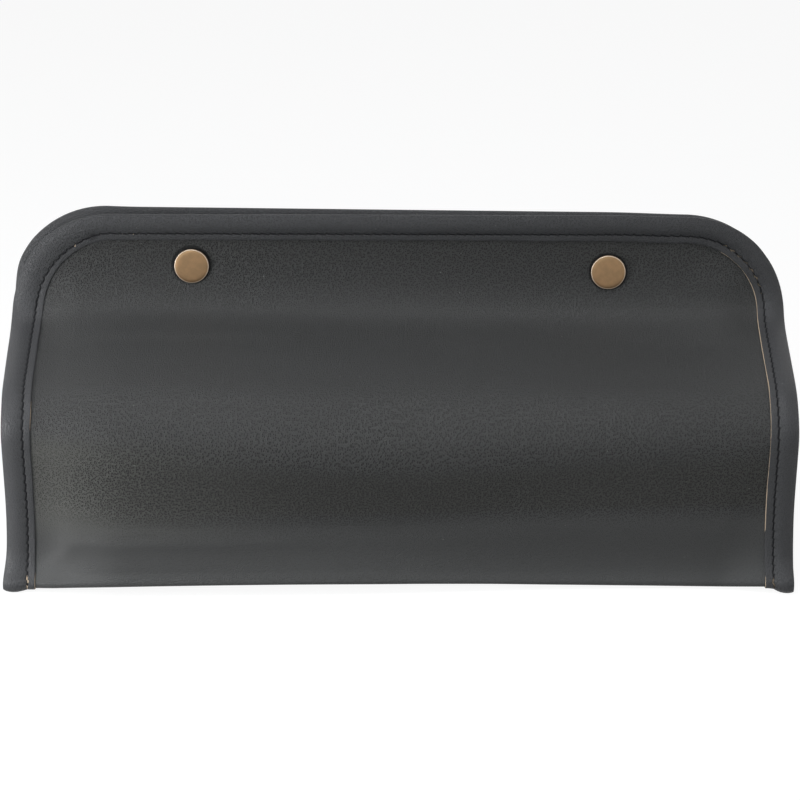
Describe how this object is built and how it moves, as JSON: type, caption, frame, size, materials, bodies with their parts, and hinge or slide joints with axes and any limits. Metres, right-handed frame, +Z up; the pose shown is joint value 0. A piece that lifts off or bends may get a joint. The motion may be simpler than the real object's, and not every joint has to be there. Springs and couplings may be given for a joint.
{
  "type": "tissue case",
  "caption": "Soft imitation-leather case for a box of tissues, with bound edges and two flaps that close with press snaps over the dispensing slot.",
  "frame": {"origin": "on the table, under the middle of the case", "axes": "+X to the right along the case, seen from the front; +Y from the front to the back; +Z up. The flap with the snap caps faces -Y."},
  "size_m": [0.277, 0.1276, 0.1231],
  "materials": {
    "sheet": "fine-grained black imitation leather, semi-matt, beige knit backing inside",
    "binding": "the same imitation leather, folded and sewn with black thread, raw beige inner edge",
    "snap_cap": "antique brass, satin face with a bright rim",
    "snap_metal": "pressed brass, satin",
    "spring_wire": "drawn spring wire"
  },
  "bodies": {
    "tray": {"main_panel": "sheet", "end_panel_left": "sheet", "end_panel_right": "sheet", "base_binding_left": "binding", "base_binding_right": "binding"},
    "front_cover": {"front_flap": "sheet", "front_flap_binding": "binding", "snap_cap_left": "snap_cap", "snap_cap_right": "snap_cap", "snap_socket_left": "snap_metal", "snap_socket_right": "snap_metal", "snap_spring_left": "spring_wire", "snap_spring_right": "spring_wire"},
    "back_cover": {"back_flap": "sheet", "back_flap_binding": "binding", "snap_stud_left": "snap_metal", "snap_stud_right": "snap_metal", "snap_post_left": "snap_metal", "snap_post_right": "snap_metal"}
  },
  "joints": [
    {"name": "front_flap_fold", "type": "hinge", "parent": "tray", "child": "front_cover", "pos_m": [0, -0.0638, 0.0575], "axis": [1, 0, 0], "range_deg": [0, 150]},
    {"name": "back_flap_fold", "type": "hinge", "parent": "tray", "child": "back_cover", "pos_m": [0, 0.0638, 0.0575], "axis": [-1, 0, 0], "range_deg": [0, 150]}
  ]
}
